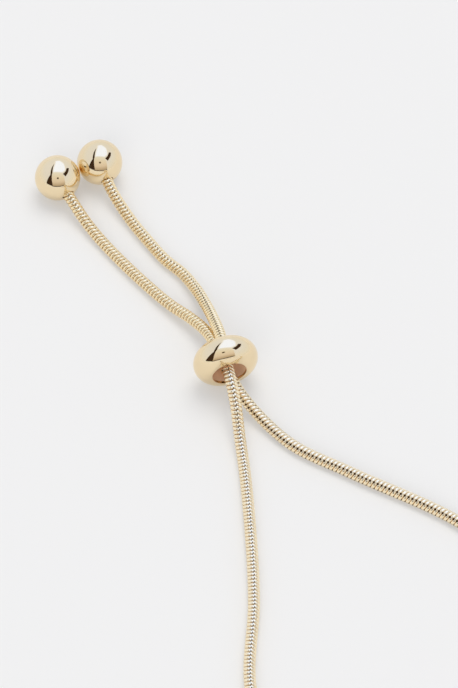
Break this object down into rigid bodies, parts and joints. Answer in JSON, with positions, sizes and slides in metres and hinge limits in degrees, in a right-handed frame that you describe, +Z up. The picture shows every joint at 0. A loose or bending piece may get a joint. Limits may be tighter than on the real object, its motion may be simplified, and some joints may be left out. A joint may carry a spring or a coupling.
{
  "type": "slider bracelet",
  "caption": "Slider bracelet: a round snake chain looped through a polished ring-shaped slider bead with a soft lining, each tail ending in a polished drilled ball.",
  "frame": {"origin": "on the table under the middle of the whole bracelet as it lies", "axes": "+Z up; +Y along the bracelet, from the far end of the loop to the two balls; +X to the right seen from above with the balls away from the viewer"},
  "size_m": [0.0413, 0.1087, 0.008],
  "materials": {
    "polished_gold": "mirror-polished pale champagne-gold plating",
    "chain_gold": "bright pale champagne-gold plating on fine linked plates",
    "tan_rubber": "matt rose-brown silicone rubber"
  },
  "bodies": {
    "root": {"slider_bead": "polished_gold", "bead_lining": "tan_rubber", "ball_end_left": "polished_gold", "ball_end_right": "polished_gold", "snake_chain": "chain_gold"}
  },
  "joints": []
}
